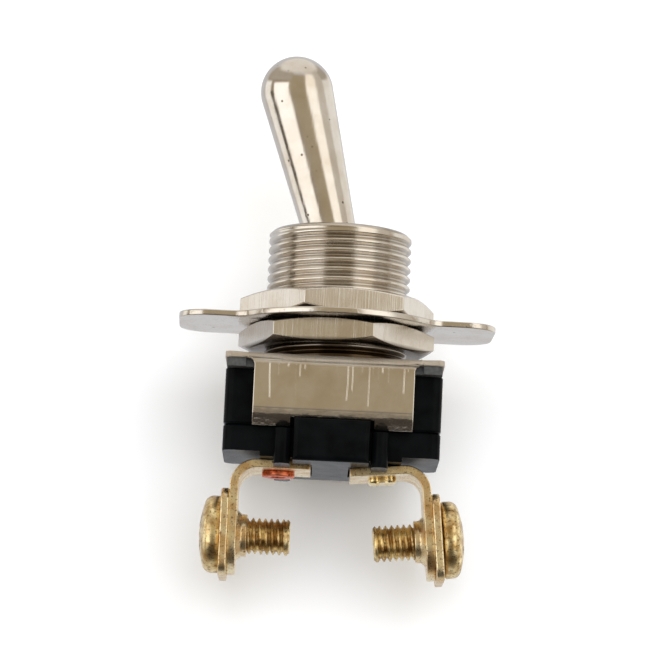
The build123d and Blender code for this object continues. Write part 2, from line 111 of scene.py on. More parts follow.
# %% [markdown]
# ## Nodes and colours
# The room, the finishes and the threads below are all node trees. One function adds a node, sets
# it up and links it. Its inputs are given by name or in the order of the sockets that are open,
# and each is a value, a socket, or a node, which stands for its first open output. Another
# function turns a colour in hex, as a painter writes it, into the linear values Blender needs.

# %% Helpers for node trees
def add(tree, kind, inputs=(), **settings):
    """Add a node with its settings and its inputs."""
    node = tree.nodes.new(kind)
    for name, value in settings.items():
        setattr(node, name, value)
    sockets = [s for s in node.inputs if s.enabled]
    for key, value in inputs.items() if isinstance(inputs, dict) else enumerate(inputs):
        socket = sockets[key] if isinstance(key, int) else node.inputs[key]
        if isinstance(value, bpy.types.Node):
            value = next(s for s in value.outputs if s.enabled)
        if isinstance(value, bpy.types.NodeSocket):
            tree.links.new(value, socket)
        else:
            socket.default_value = value
    return node


def colour(code):
    """Linear RGBA from an sRGB hex colour."""
    parts = [int(code[i:i + 2], 16) / 255 for i in (1, 3, 5)]
    linear = [p / 12.92 if p <= 0.04045 else ((p + 0.055) / 1.055) ** 2.4 for p in parts]
    return (*linear, 1.0)


MATH = "ShaderNodeMath"
RANGE = "ShaderNodeMapRange"
MIX = "ShaderNodeMix"
NOISE = "ShaderNodeTexNoise"
print("a mid grey is", round(colour("#808080")[0], 3), "in linear light")

# %% [markdown]
# ## Light and room
# The switch lies on a white sheet under soft light. Polished nickel shows the room more than
# itself, so the room is painted: each panel is a tone between two bearings, in degrees to the right
# of the camera, and between two heights of the direction. The last number is how soft its sides
# are, in degrees. Later panels cover earlier ones. The front faces mirror a tan wall, the rounds
# mirror a window on each side, and the crimped tabs mirror what is dark below. Cards and lamps could
# stand round the switch instead, but a painted tone is one line here and casts no shadow.

# %% Build the room
ROOM_TONE = (0.68, 0.69, 0.72, 1.0)
ALL_ROUND = (-220, 220)
ANY_HEIGHT = (-2.0, 2.0)
PANELS = [
    ((0.50, 0.46, 0.40, 1.0), (62, 140), ANY_HEIGHT, 8),
    ((0.36, 0.29, 0.20, 1.0), (-120, -20), ANY_HEIGHT, 8),
    ((1.18, 1.17, 1.15, 1.0), (-122, -92), (-0.28, 0.4), 4),
    ((1.00, 0.99, 0.96, 1.0), (92, 152), (-0.28, 0.5), 5),
    ((0.13, 0.11, 0.09, 1.0), (-94, -80), (-0.6, 0.02), 3),
    ((1.50, 1.48, 1.45, 1.0), (-80, -25), (-0.55, 0.34), 4),
    ((0.46, 0.39, 0.27, 1.0), (-25, 28), (-0.04, 0.72), 6),
    ((0.27, 0.23, 0.175, 1.0), (-25, 28), (-0.6, -0.04), 6),
    ((1.42, 1.38, 1.30, 1.0), (26, 62), (-0.7, 0.75), 5),
    ((0.70, 0.66, 0.60, 1.0), (62, 92), (-0.6, 0.75), 4),
    ((0.45, 0.38, 0.29, 1.0), (84, 93), (-0.6, 0.28), 3),
    ((0.50, 0.45, 0.38, 1.0), (-125, -20), (0.45, 0.78), 6),
    ((0.95, 0.92, 0.88, 1.0), ALL_ROUND, (0.80, 2.0), 5),
    ((0.05, 0.042, 0.034, 1.0), (-95, 95), (-2.0, -0.5), 5),
]
SOFT_HEIGHT = 0.06
SHEET_WHITE = (1.0, 1.0, 1.0, 1.0)

world = bpy.data.worlds.new("white_room")
world.use_nodes = True
bpy.context.scene.world = world
room = world.node_tree
room.nodes.clear()
side, depth, height = add(room, "ShaderNodeSeparateXYZ", [add(room, "ShaderNodeTexCoord")]).outputs
ahead = add(room, MATH, (depth, -1.0), operation="MULTIPLY")
bearing = add(room, MATH, (side, ahead), operation="ARCTAN2")
tones = ROOM_TONE
for tone, bearings, heights, soft_deg in PANELS:
    shares = []
    spans = ((bearing, np.radians(bearings), math.radians(soft_deg)),
             (height, np.array(heights), SOFT_HEIGHT))
    for value, span, soft in spans:
        off = add(room, MATH, (value, span.mean()), operation="SUBTRACT")
        away = add(room, MATH, (off,), operation="ABSOLUTE")
        reach = np.ptp(span) / 2
        ends = (away, reach + soft, reach - soft)
        shares.append(add(room, RANGE, ends, interpolation_type="SMOOTHSTEP"))
    share = add(room, MATH, shares, operation="MULTIPLY")
    tones = add(room, MIX, (share, tones, tone), data_type="RGBA")
seen = add(room, "ShaderNodeLightPath").outputs["Is Camera Ray"]
lit = add(room, "ShaderNodeBackground", {"Color": tones})
backdrop = add(room, "ShaderNodeBackground", {"Color": SHEET_WHITE})
mixed = add(room, "ShaderNodeMixShader", (seen, lit, backdrop))
add(room, "ShaderNodeOutputWorld", {"Surface": mixed})
print("room panels:", len(PANELS), "nodes:", len(room.nodes))

# %% [markdown]
# The sheet lies just behind the switch, along the plate's rim and the base's block. It only
# catches shadow. It is hidden from every other ray, and from behind, so that the back of the switch
# stays lit and open to view.

# %% Lay the sheet and hang the lamp
SHEET_SIZE = 900 * MM
SHEET_GAP = 3 * MM
LAMP_FROM = Vector((0.09, -1.0, 0.24))
LAMP_SIZE = 0.9
LAMP_POWER = 8.2
LAMP_COLOUR = "#ecf4ff"

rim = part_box("indicator_plate")
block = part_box("base")
high = Vector((0, rim[1].y + SHEET_GAP, rim[0].z))
low = Vector((0, block[1].y + SHEET_GAP, block[0].z))
along = (high - low).normalized()
across = Vector((1, 0, 0))
corners = [high + across * x * SHEET_SIZE + along * z * SHEET_SIZE
           for x, z in ((-1, -1), (1, -1), (1, 1), (-1, 1))]
sheet_mesh = bpy.data.meshes.new("sheet")
sheet_mesh.from_pydata(corners, [], [(0, 1, 2, 3)])
sheet = bpy.data.objects.new("sheet", sheet_mesh)
bpy.context.scene.collection.objects.link(sheet)
sheet.visible_diffuse = False
sheet.visible_glossy = False
sheet.visible_transmission = False
sheet.visible_shadow = False
paper = bpy.data.materials.new("white_sheet")
paper.use_nodes = True
paper.node_tree.nodes.clear()
front = add(paper.node_tree, "ShaderNodeBsdfDiffuse", {"Color": SHEET_WHITE})
clear = add(paper.node_tree, "ShaderNodeBsdfTransparent")
behind = add(paper.node_tree, "ShaderNodeNewGeometry").outputs["Backfacing"]
either = add(paper.node_tree, "ShaderNodeMixShader", (behind, front, clear))
add(paper.node_tree, "ShaderNodeOutputMaterial", {"Surface": either})
sheet_mesh.materials.append(paper)

lamp = bpy.data.objects.new("lamp", bpy.data.lights.new("lamp", "AREA"))
lamp.data.energy = LAMP_POWER
lamp.data.size = LAMP_SIZE
lamp.data.color = colour(LAMP_COLOUR)[:3]
lamp.visible_glossy = False
lamp_turn = (-LAMP_FROM).to_track_quat("-Z", "Y").to_matrix().to_4x4()
lamp.matrix_world = Matrix.Translation(LAMP_FROM) @ lamp_turn
bpy.context.scene.collection.objects.link(lamp)
print("sheet leans by degrees:", round(math.degrees(math.atan2(along.y, along.z)), 1))

# %% [markdown]
# ## Nickel plate
# Object coordinates are in metres, so a pattern with one cell a millimetre has a scale of 1000.
# Nickel plate is a warm mirror. Its wear is what makes it real: faint stains, the marks of how the
# piece was made, and pits where the plate broke through. Brown painted shade is also added where
# shade falls: in the roots of the bushing's thread, mixed there with some dirt, and in the gap
# between the bracket and the lower nut. The marks and the painted shade differ from piece to piece,
# so each has its own small function. On the bracket the marks are upright scratches below the fold,
# most of them short, and the dents of the tool that crimped the tabs. A picture of worn nickel would
# do too, but it would have to be wrapped round every piece. Noise in the piece's own coordinates
# needs no wrapping.

# %% Streaks left by turning
PER_MM = 1 / MM


def turning_grain(tree, place, streak_mm, share):
    """Streaks of a size in X, Y and Z, where the noise is above a share."""
    scale = tuple(PER_MM / mm for mm in streak_mm)
    stretched = add(tree, "ShaderNodeMapping", {"Vector": place, "Scale": scale})
    grain = add(tree, NOISE, {"Vector": stretched, "Scale": 1.0, "Detail": 3.0})
    return add(tree, RANGE, (grain, *share))


print("scale of a pattern of 1 mm:", round(PER_MM))

# %% Scratches and dents on the bracket
BEND_MM = 4.0
BEND_BY = 0.3 * MM
CORE_SHARE = 1 / 3
FAINTEST = 0.3
MOSTLY_SHORT = 3.0
SHORTEST_END = -1.0 * MM
FADE = 0.4 * MM
CRIMP_FROM = -4.6 * MM
CRIMP_FULL = -5.0 * MM
CRIMP_FORCE = 6.0
CRIMP_DENT_MM = 0.7


def folding_marks(tree, place, spacing_mm, half_width_mm, longest_mm, half_flange_mm):
    """Upright scratches below the fold, each of its own length, and dents of the crimp."""
    spot = add(tree, "ShaderNodeSeparateXYZ", [place]).outputs
    wander = add(tree, NOISE, {"Vector": place, "Scale": PER_MM / BEND_MM, "Detail": 0.0})
    shift = add(tree, MATH, (wander, BEND_BY, spot["X"]), operation="MULTIPLY_ADD")
    rows = {"W": shift, "Scale": PER_MM / spacing_mm}
    lines = add(tree, "ShaderNodeTexVoronoi", rows, voronoi_dimensions="1D")
    width = half_width_mm / spacing_mm
    thin = add(tree, RANGE, (lines.outputs["Distance"], width, width * CORE_SHARE))
    lots = add(tree, "ShaderNodeSeparateColor", [lines.outputs["Color"]]).outputs
    force = add(tree, RANGE, (lots["Green"], 0.0, 1.0, FAINTEST, 1.0))
    faint = add(tree, MATH, (thin, force), operation="MULTIPLY")
    uneven = add(tree, MATH, (lots["Red"], MOSTLY_SHORT), operation="POWER")
    end = add(tree, MATH, (uneven, -longest_mm * MM, SHORTEST_END), operation="MULTIPLY_ADD")
    down = add(tree, MATH, (spot["Z"], end), operation="SUBTRACT")
    reach = add(tree, RANGE, (down, 0.0, FADE))
    beside = add(tree, MATH, (spot["X"],), operation="ABSOLUTE")
    inside = add(tree, MATH, (beside, half_flange_mm * MM), operation="LESS_THAN")
    long = add(tree, MATH, (faint, reach), operation="MULTIPLY")
    scratches = add(tree, MATH, (long, inside), operation="MULTIPLY")
    crimped = add(tree, RANGE, (spot["Z"], CRIMP_FROM, CRIMP_FULL, 0.0, CRIMP_FORCE))
    dents = add(tree, NOISE, {"Vector": place, "Scale": PER_MM / CRIMP_DENT_MM, "Detail": 2.0})
    hammered = add(tree, MATH, (dents, crimped), operation="MULTIPLY")
    return add(tree, MATH, (scratches, hammered), operation="ADD")


# %% Painted shade, dirt and wear by place
ROOT_SHADE_AND_DIRT = 0.35


def toward_height(tree, place, none_mm, full_mm):
    """A share that grows from none at one height to all at another."""
    level = add(tree, "ShaderNodeSeparateXYZ", [place]).outputs["Z"]
    return add(tree, RANGE, (level, none_mm * MM, full_mm * MM))


def shade_and_dirt_in_roots(tree, place, crest_mm, root_mm, unshaded_mm, full_shade_mm):
    """Painted shade with some dirt in the roots of a thread about Z, and painted shade all over it below
    a height.
    """
    flat = add(tree, "ShaderNodeVectorMath", (place, (1.0, 1.0, 0.0)), operation="MULTIPLY")
    out = add(tree, "ShaderNodeVectorMath", (flat,), operation="LENGTH")
    # painted shade with some dirt: darker towards the roots, where shade falls between the flanks
    roots = add(tree, RANGE, (out, crest_mm * MM, root_mm * MM, 0.0, ROOT_SHADE_AND_DIRT))
    # painted shade below a height, where the thread runs into a dark gap
    below = toward_height(tree, place, unshaded_mm, full_shade_mm)
    return add(tree, MATH, (roots, below), operation="MAXIMUM")


# %% [markdown]
# The plate itself is one tree for every piece. The marks stand a little proud and are rougher, the
# pits are sunk and dark, and the painted shade is brown, with some dirt in it in a thread's roots.
# The bracket's fold is rubbed dull, so it shows pale under the nut where a mirror would show the
# dark gap.

# %% Nickel plate
NICKEL = "#dcd5cb"
NICKEL_STAINED = "#d0c5b6"
PIT_BROWN = "#6a6052"
SHADE_AND_DIRT_BROWN = "#4a3c2c"
STAIN_MM = 2.5
STAIN_SHARE = (0.42, 0.68)
PIT_SPACING_MM = 0.8
LARGEST_PIT = 0.2
PIT_CORE = 0.5
PLATE_BUMP = 0.5
MARK_ROUGH = 0.12
RUBBED_ROUGH = 0.55


def start_material(name):
    """A new empty material, its tree and the piece's own coordinates."""
    material = bpy.data.materials.new(name)
    material.use_nodes = True
    tree = material.node_tree
    tree.nodes.clear()
    return material, tree, add(tree, "ShaderNodeTexCoord").outputs["Object"]


def nickel_plate(name, rough, dent_mm, pit_share, marks, shade_and_dirt=None, wear=None):
    """Polished nickel. Its marks, its painted shade with some dirt, and its dull wear are each a
    function with its sizes set.
    """
    material, tree, place = start_material(name)
    raised = marks(tree, place)
    shade_and_dirt_share = shade_and_dirt(tree, place) if shade_and_dirt else 0.0
    rubbed = wear(tree, place) if wear else 0.0
    stain = add(tree, NOISE, {"Vector": place, "Scale": PER_MM / STAIN_MM, "Detail": 4.0})
    stains = add(tree, RANGE, (stain, *STAIN_SHARE))
    cells = add(tree, "ShaderNodeTexVoronoi", {"Vector": place, "Scale": PER_MM / PIT_SPACING_MM})
    lots = add(tree, "ShaderNodeSeparateColor", [cells.outputs["Color"]]).outputs
    size = add(tree, MATH, (lots["Green"], LARGEST_PIT), operation="MULTIPLY")
    core = add(tree, MATH, (size, PIT_CORE), operation="MULTIPLY")
    spots = add(tree, RANGE, (cells.outputs["Distance"], size, core))
    chosen = add(tree, MATH, (lots["Red"], pit_share), operation="LESS_THAN")
    pits = add(tree, MATH, (spots, chosen), operation="MULTIPLY")
    plate = add(tree, MIX, (stains, colour(NICKEL), colour(NICKEL_STAINED)), data_type="RGBA")
    worn = add(tree, MIX, (pits, plate, colour(PIT_BROWN)), data_type="RGBA")
    # painted shade: brown where shade falls, with some dirt in a thread's roots
    dull = add(tree, MIX, (shade_and_dirt_share, worn, colour(SHADE_AND_DIRT_BROWN)), data_type="RGBA")
    dents = add(tree, MATH, (raised, pits), operation="SUBTRACT")
    hills = {"Strength": PLATE_BUMP, "Distance": dent_mm * MM, "Height": dents}
    bump = add(tree, "ShaderNodeBump", hills)
    marked = add(tree, RANGE, (raised, 0.0, 1.0, rough, rough + MARK_ROUGH))
    roughness = add(tree, MATH, (rubbed, RUBBED_ROUGH, marked), operation="MULTIPLY_ADD")
    shader = add(tree, "ShaderNodeBsdfPrincipled",
                 {"Base Color": dull, "Metallic": 1.0, "Roughness": roughness, "Normal": bump})
    add(tree, "ShaderNodeOutputMaterial", {"Surface": shader})
    return material


# %% [markdown]
# Five nickel finishes follow from how the pieces were made. The turned lever has long faint streaks
# and many pits. The nuts, cut from hex bar, have fine upright lines, and the lower one gets painted
# shade at its foot. The bushing's thread gets painted shade with some dirt in its roots, and painted
# shade where it runs under the lower nut. The bracket is drawn and folded, and the plate is stamped,
# which leaves a fine speckle and some pits.

# %% The nickel finishes
STREAKS = (0.5, 0.75)
SPECKLES = (0.6, 0.75)

nickel_lever = nickel_plate("nickel_on_turned_brass", rough=0.13, dent_mm=0.008, pit_share=0.7,
                            marks=partial(turning_grain, streak_mm=(0.6, 0.6, 9.0), share=STREAKS))
# The lower nut gets painted shade at its foot, in the gap over the bracket.
nickel_nut = nickel_plate("nickel_on_hex_bar", rough=0.2, dent_mm=0.006, pit_share=0.02,
                          marks=partial(turning_grain, streak_mm=(0.12, 0.12, 4.0), share=STREAKS),
                          shade_and_dirt=partial(toward_height, none_mm=1.5, full_mm=1.15))
# The bushing's thread gets painted shade with some dirt in its roots, and painted shade below 1.4 mm, in
# the gap between the lower nut and the bracket.
nickel_thread = nickel_plate("nickel_on_cut_thread", rough=0.17, dent_mm=0.01, pit_share=0.05,
                             marks=partial(turning_grain, streak_mm=(1.0, 1.0, 1.0), share=STREAKS),
                             shade_and_dirt=partial(shade_and_dirt_in_roots, crest_mm=5.9, root_mm=5.7,
                                          unshaded_mm=1.4, full_shade_mm=0.8))
nickel_sheet = nickel_plate("nickel_on_drawn_sheet", rough=0.14, dent_mm=0.03, pit_share=0.04,
                            marks=partial(folding_marks, spacing_mm=0.42, half_width_mm=0.06,
                                          longest_mm=4.4, half_flange_mm=6.3),
                            wear=partial(toward_height, none_mm=-1.0, full_mm=-0.7))
nickel_stamped = nickel_plate("nickel_on_stamped_sheet", rough=0.18, dent_mm=0.02, pit_share=0.3,
                              marks=partial(turning_grain, streak_mm=(0.3, 0.3, 0.3), share=SPECKLES))
nickels = (nickel_lever, nickel_nut, nickel_thread, nickel_sheet, nickel_stamped)
print("nickel finishes:", [material.name for material in nickels])

# %% [markdown]
# ## Brass, zinc and copper
# The terminals are bare stamped brass, gone brown in patches, and the screws are steel with a
# yellow zinc coat that shows bands of brown. All are one tree with other colours: two large tones,
# a fine mottle, and dark spots. The specks are 0.22 mm, about the finest that shows in the render.

# %% Coloured metals
SPECK_MM = 0.22
PATCH_SHARE = (0.38, 0.64)
SPECK_SHARE = (0.55, 0.74)
GRAIN_SHARE = (0.3, 0.7)
SPECK_ROUGH = 0.2
GRAIN_BUMP = 0.3
GRAIN_DEPTH = 0.03 * MM


def mottled_metal(name, light, deep, spot, mottle_mm, rough):
    """A metal with a light and a deep tone in patches, and dark spots."""
    material, tree, place = start_material(name)
    broad = add(tree, NOISE, {"Vector": place, "Scale": PER_MM / mottle_mm, "Detail": 5.0})
    fine = add(tree, NOISE, {"Vector": place, "Scale": PER_MM / SPECK_MM, "Detail": 3.0})
    patches = add(tree, RANGE, (broad, *PATCH_SHARE))
    specks = add(tree, RANGE, (fine, *SPECK_SHARE))
    metal = add(tree, MIX, (patches, colour(light), colour(deep)), data_type="RGBA")
    spotted = add(tree, MIX, (specks, metal, colour(spot)), data_type="RGBA")
    roughness = add(tree, RANGE, (fine, *GRAIN_SHARE, rough, rough + SPECK_ROUGH))
    hills = {"Strength": GRAIN_BUMP, "Distance": GRAIN_DEPTH, "Height": fine}
    bump = add(tree, "ShaderNodeBump", hills)
    shader = add(tree, "ShaderNodeBsdfPrincipled",
                 {"Base Color": spotted, "Metallic": 1.0, "Roughness": roughness, "Normal": bump})
    add(tree, "ShaderNodeOutputMaterial", {"Surface": shader})
    return material


brass_strip = mottled_metal("stamped_brass", "#fff0c8", "#e4c08a", "#8a6238",
                            mottle_mm=1.4, rough=0.24)
brass_bright = mottled_metal("rolled_brass_rivet", "#fff0c4", "#ecd090", "#9c7842",
                             mottle_mm=1.2, rough=0.14)
zinc_yellow = mottled_metal("yellow_zinc_on_steel", "#fffaec", "#aa8458", "#563a24",
                            mottle_mm=0.9, rough=0.2)
zinc_thread = mottled_metal("yellow_zinc_thread", "#ffeab4", "#be9a60", "#5c4230",
                            mottle_mm=0.8, rough=0.24)
copper_rivet = mottled_metal("copper_rivet", "#f59068", "#c24a28", "#7a3018",
                             mottle_mm=0.5, rough=0.3)
spring_steel = mottled_metal("drawn_steel", "#b9b9bb", "#9a9a9c", "#77777a",
                             mottle_mm=0.8, rough=0.22)
contact_silver = mottled_metal("contact_silver", "#e8e6e0", "#cfcbc2", "#9a968c",
                               mottle_mm=0.6, rough=0.2)
print("coloured metals:", brass_strip.name, zinc_yellow.name, copper_rivet.name)

# %% [markdown]
# ## Mouldings
# The case is a glossy black thermoset: almost no colour of its own, a clear reflection that is a
# little warm, and a surface that is a little wavy. Its index is far lower than a thermoset's 1.6,
# because the front stays black here although the room in front of it is bright. The fibre sheet
# is dull and flecked. The plunger is nylon.

# %% Phenolic, fibre and nylon
FLECK_SHARE = (0.35, 0.65)
WAVY_ROUGH = 0.06


def moulding(name, light, deep, grain_mm, rough, dent_mm, index, glint="#ffffff"):
    """A moulded or pressed material in two near tones with a fine uneven surface."""
    material, tree, place = start_material(name)
    grain = add(tree, NOISE, {"Vector": place, "Scale": PER_MM / grain_mm, "Detail": 4.0})
    share = add(tree, RANGE, (grain, *FLECK_SHARE))
    tone = add(tree, MIX, (share, colour(deep), colour(light)), data_type="RGBA")
    roughness = add(tree, RANGE, (grain, *GRAIN_SHARE, rough, rough + WAVY_ROUGH))
    hills = {"Strength": GRAIN_BUMP, "Distance": dent_mm * MM, "Height": grain}
    bump = add(tree, "ShaderNodeBump", hills)
    shader = add(tree, "ShaderNodeBsdfPrincipled",
                 {"Base Color": tone, "Roughness": roughness, "Normal": bump, "IOR": index,
                  "Specular Tint": colour(glint)})
    add(tree, "ShaderNodeOutputMaterial", {"Surface": shader})
    return material


phenolic = moulding("black_phenolic", "#0e1011", "#08090a", grain_mm=1.5, rough=0.22, dent_mm=0.003,
                    index=1.1, glint="#fff4ea")
fibre = moulding("pressed_fibre", "#525250", "#424242", grain_mm=0.25, rough=0.7, dent_mm=0.03,
                 index=1.45)
nylon = moulding("turned_nylon", "#e6e0cc", "#dcd4bc", grain_mm=0.8, rough=0.4, dent_mm=0.01,
                 index=1.53)
print("mouldings:", phenolic.name, fibre.name, nylon.name)

# %% [markdown]
# ## Softened edges
# Every real edge is a little round, and that thin round catches the light. Rounding in the shader
# would be quicker, but it leaves the outline sharp. So each solid is copied, its loose triangles
# are welded and flat areas joined, and a bevel rounds the edges. The copy then stands for the
# solid.

# %% Pieces that stand for solids
def plain_mesh(piece):
    """Turn a piece's modifiers into its mesh."""
    graph = bpy.context.evaluated_depsgraph_get()
    mesh = bpy.data.meshes.new_from_object(piece.evaluated_get(graph), depsgraph=graph)
    piece.modifiers.clear()
    piece.data = mesh
    return piece


def new_piece(name, mesh, finish):
    """A mesh with a finish, in the scene."""
    piece = bpy.data.objects.new(name, mesh)
    bpy.context.scene.collection.objects.link(piece)
    mesh.materials.clear()
    mesh.materials.append(finish)
    return piece


def stand_for(piece, node):
    """Let a finished piece replace a node on the node's own body."""
    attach(piece, frame["nodes"][node]["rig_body"])
    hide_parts(node)


# %% [markdown]
# The bracket is bent from sheet, so between its wings the top runs into the front and the back in a
# round fold. A bevel as wide as that would run into the faces beside it. So the copy is cut into
# narrow strips along the fold, and the edges of the strips are moved onto the round.

# %% The rolled fold
FOLD_HALF_W = 7.0
FOLD_Y = 6.1
FOLD_R = 0.8
FOLD_SKIN = 0.05
FOLD_CUTS = 7


def roll_fold(shell):
    """Roll the top sheet's front and back edges into round folds, between the wings."""
    for x in (-FOLD_HALF_W, FOLD_HALF_W):
        parts = shell.verts[:] + shell.edges[:] + shell.faces[:]
        bmesh.ops.bisect_plane(shell, geom=parts, plane_co=(x * MM, 0, 0), plane_no=(1, 0, 0))
    inside = [v for v in shell.verts if abs(v.co.x) < (FOLD_HALF_W + FOLD_SKIN) * MM]
    for v in inside:
        if v.co.z > -FOLD_SKIN * MM and abs(v.co.y) > FOLD_Y * MM:
            v.co.y = math.copysign(FOLD_Y * MM, v.co.y)
    for hand in (-1, 1):
        middle = Vector((0, hand * FOLD_Y, -FOLD_R)) * MM
        for angle in np.linspace(0, math.pi / 2, FOLD_CUTS + 2)[1:-1]:
            bent = [f for f in shell.faces if abs(f.calc_center_median().x) < FOLD_HALF_W * MM
                    and (f.calc_center_median() - middle).y * hand > 0
                    and f.calc_center_median().z > middle.z]
            parts = list(dict.fromkeys(p for f in bent for p in (f, *f.edges, *f.verts)))
            across = Vector((0, -hand * math.sin(angle), math.cos(angle)))
            bmesh.ops.bisect_plane(shell, geom=parts, plane_co=middle, plane_no=across)
        for v in shell.verts:
            arm = v.co - middle
            arm.x = 0
            outer = arm.length > (FOLD_R - 2 * FOLD_SKIN) * MM
            between = abs(v.co.x) < (FOLD_HALF_W + FOLD_SKIN) * MM
            if outer and between and arm.y * hand > 0 and arm.z > 0:
                v.co += arm.normalized() * FOLD_R * MM - arm


# %% Copies of solids with rounded edges
EDGE_ANGLE = math.radians(24)
EDGE_SEGMENTS = 3
FLAT_ANGLE = math.radians(0.4)
WELD = 0.0005 * MM


def round_edges(node, name, finish, radius_mm, reshape=None):
    """A copy of a node with its edges rounded, which then replaces it."""
    shell = bmesh.new()
    shell.from_mesh(frame["nodes"][node].data)
    bmesh.ops.remove_doubles(shell, verts=shell.verts, dist=WELD)
    bmesh.ops.dissolve_limit(shell, angle_limit=FLAT_ANGLE, verts=shell.verts, edges=shell.edges)
    if reshape:
        reshape(shell)
    mesh = bpy.data.meshes.new(name)
    shell.to_mesh(mesh)
    shell.free()
    mesh.shade_smooth()
    piece = new_piece(name, mesh, finish)
    bevel = piece.modifiers.new("edges", "BEVEL")
    bevel.width = radius_mm * MM
    bevel.segments = EDGE_SEGMENTS
    bevel.limit_method = "ANGLE"
    bevel.angle_limit = EDGE_ANGLE
    # On a fold's narrow strips the clamp would leave hardly any bevel.
    bevel.use_clamp_overlap = reshape is None
    normals = piece.modifiers.new("normals", "WEIGHTED_NORMAL")
    normals.keep_sharp = False
    plain_mesh(piece)
    stand_for(piece, node)
    print(name, "faces:", len(piece.data.polygons))


round_edges("upper_nut", "nut_upper", nickel_nut, radius_mm=0.1)
round_edges("lower_nut", "nut_lower", nickel_nut, radius_mm=0.1)
round_edges("bracket", "bracket_folded", nickel_sheet, radius_mm=0.08, reshape=roll_fold)
round_edges("upper_case", "case_upper", phenolic, radius_mm=0.12)
round_edges("base", "case_base", phenolic, radius_mm=0.12)
round_edges("insulator", "fibre_sheet", fibre, radius_mm=0.06)
for hand in ("left", "right"):
    round_edges("terminal_" + hand, "strip_" + hand, brass_strip, radius_mm=0.08)
    round_edges("clamp_plate_" + hand, "clamp_" + hand, brass_strip, radius_mm=0.12)
round_edges("rivet_left", "copper_rivet_left", copper_rivet, radius_mm=0.1)
round_edges("rivet_right", "brass_rivet_right", brass_bright, radius_mm=0.06)

# %% [markdown]
# ## Threads
# A thread is one rule: the radius at a point depends on how far it is along the bar, less its
# share of a turn. A profile could be swept along a helix, but its ends would have to be trimmed.
# Geometry Nodes applies the rule to a grid instead, so the bushing and both screws use one tree
# with their own sizes. The grid's ends are plain circles, which the turned ends join.

# %% The thread's node tree
thread_tree = bpy.data.node_groups.new("screw_thread", "GeometryNodeTree")
for label in ("Outer radius", "Pitch", "Depth", "Length", "Run-out"):
    thread_tree.interface.new_socket(label, in_out="INPUT", socket_type="NodeSocketFloat")
for label in ("Columns", "Rows"):
    thread_tree.interface.new_socket(label, in_out="INPUT", socket_type="NodeSocketInt")
thread_tree.interface.new_socket("Finish", in_out="INPUT", socket_type="NodeSocketMaterial")
thread_tree.interface.new_socket("Mesh", in_out="OUTPUT", socket_type="NodeSocketGeometry")
given = add(thread_tree, "NodeGroupInput").outputs
print("thread inputs:", [socket.name for socket in given if socket.name])

# %% [markdown]
# The grid is one unit wide and long about zero, so half a unit is added to both. Its width is then
# the share of a turn, and its length the way along the bar. The phase within one pitch gives the
# slope of the flanks, with a flat crest and root, and the cut fades out at both ends.

# %% How far along and how deep
CREST_SHARE = 0.3
FLANK_RISE = 1.55

counts = {"Size X": 1.0, "Size Y": 1.0, "Vertices X": given["Columns"], "Vertices Y": given["Rows"]}
grid = add(thread_tree, "GeometryNodeMeshGrid", counts)
position = add(thread_tree, "GeometryNodeInputPosition")
flat = add(thread_tree, "ShaderNodeSeparateXYZ", [position]).outputs
share = add(thread_tree, MATH, (flat["X"], 0.5), operation="ADD")
run = add(thread_tree, MATH, (flat["Y"], 0.5), operation="ADD")
way = add(thread_tree, MATH, (run, given["Length"]), operation="MULTIPLY")
pitches = add(thread_tree, MATH, (way, given["Pitch"]), operation="DIVIDE")
turns = add(thread_tree, MATH, (pitches, share), operation="SUBTRACT")
phase = add(thread_tree, MATH, (turns,), operation="FRACT")
swing = add(thread_tree, MATH, (phase, 2.0, -1.0), operation="MULTIPLY_ADD")
slope = add(thread_tree, MATH, (swing,), operation="ABSOLUTE")
cut = add(thread_tree, MATH, (slope, FLANK_RISE, -CREST_SHARE), operation="MULTIPLY_ADD", use_clamp=True)
left_over = add(thread_tree, MATH, (given["Length"], way), operation="SUBTRACT")
nearest_end = add(thread_tree, MATH, (way, left_over), operation="MINIMUM")
faded = add(thread_tree, MATH, (nearest_end, given["Run-out"]), operation="DIVIDE", use_clamp=True)
full = add(thread_tree, MATH, (cut, given["Depth"]), operation="MULTIPLY")
loss = add(thread_tree, MATH, (full, faded), operation="MULTIPLY")
print("thread tree nodes so far:", len(thread_tree.nodes))

# %% Wrap the grid round the bar
radius = add(thread_tree, MATH, (given["Outer radius"], loss), operation="SUBTRACT")
angle = add(thread_tree, MATH, (share, math.tau), operation="MULTIPLY")
cosine = add(thread_tree, MATH, (angle,), operation="COSINE")
sine = add(thread_tree, MATH, (angle,), operation="SINE")
round_x = add(thread_tree, MATH, (radius, cosine), operation="MULTIPLY")
round_y = add(thread_tree, MATH, (radius, sine), operation="MULTIPLY")
point = add(thread_tree, "ShaderNodeCombineXYZ", (round_x, round_y, way))
moved = add(thread_tree, "GeometryNodeSetPosition", {"Geometry": grid, "Position": point})
welded = add(thread_tree, "GeometryNodeMergeByDistance", {"Geometry": moved, "Distance": WELD})
smooth = add(thread_tree, "GeometryNodeSetShadeSmooth", {"Geometry": welded})
real = add(thread_tree, "GeometryNodeRealizeInstances", {"Geometry": smooth})
dressed = add(thread_tree, "GeometryNodeSetMaterial", {"Geometry": real, "Material": given["Finish"]})
add(thread_tree, "NodeGroupOutput", [dressed])


def threaded_bar(name, finish, columns, rows, **sizes_mm):
    """A plain mesh of the thread with these sizes."""
    piece = new_piece(name, bpy.data.meshes.new(name), finish)
    cutter = piece.modifiers.new("thread", "NODES")
    cutter.node_group = thread_tree
    values = {label.replace("_", " ").capitalize(): mm * MM for label, mm in sizes_mm.items()}
    values["Run-out"] = values.pop("Run out")
    values.update({"Columns": columns + 1, "Rows": rows, "Finish": finish})
    for socket in thread_tree.interface.items_tree:
        if socket.in_out == "INPUT":
            cutter[socket.identifier] = values[socket.name]
    return plain_mesh(piece)


print("thread tree nodes:", len(thread_tree.nodes))

